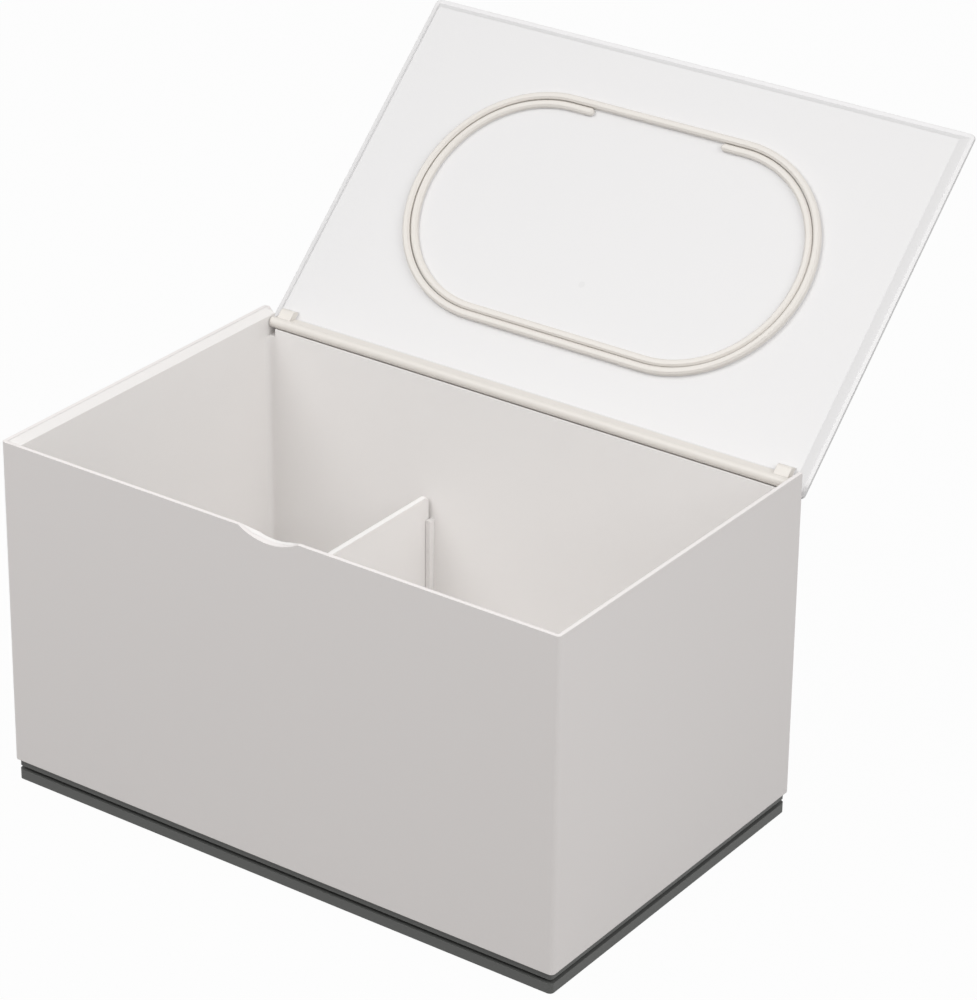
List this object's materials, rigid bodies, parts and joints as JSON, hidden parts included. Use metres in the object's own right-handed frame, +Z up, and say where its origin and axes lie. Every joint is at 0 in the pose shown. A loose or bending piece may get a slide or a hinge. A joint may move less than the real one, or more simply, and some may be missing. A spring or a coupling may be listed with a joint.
{
  "type": "hinged-lid vanity box",
  "caption": "White hinged-lid box for cotton pads and swabs, with fixed dividers and a grey plinth.",
  "frame": {"origin": "middle of the underside of the plinth, on the surface that the box stands on", "axes": "+Z up, -Y towards the front with the finger notch, +X along the hinge to the right"},
  "size_m": [0.201, 0.2177, 0.1914],
  "materials": {
    "shell_white": "satin",
    "liner_white": "satin",
    "lid_white": "satin",
    "divider_white": "satin",
    "plinth_grey": "matte",
    "pin_steel": "satin",
    "screw_steel": "satin"
  },
  "bodies": {
    "case": {"outer_shell": "shell_white", "inner_liner": "liner_white", "hinge_pin_left": "pin_steel", "hinge_pin_right": "pin_steel", "cross_divider": "divider_white", "swab_divider": "divider_white", "base_plinth": "plinth_grey", "base_screws": "screw_steel"},
    "lid": {"lid": "lid_white"}
  },
  "joints": [
    {"name": "lid_hinge", "type": "hinge", "parent": "case", "child": "lid", "pos_m": [0, 0.0608, 0.1106], "axis": [1, 0, 0], "range_deg": [0, 137]}
  ]
}
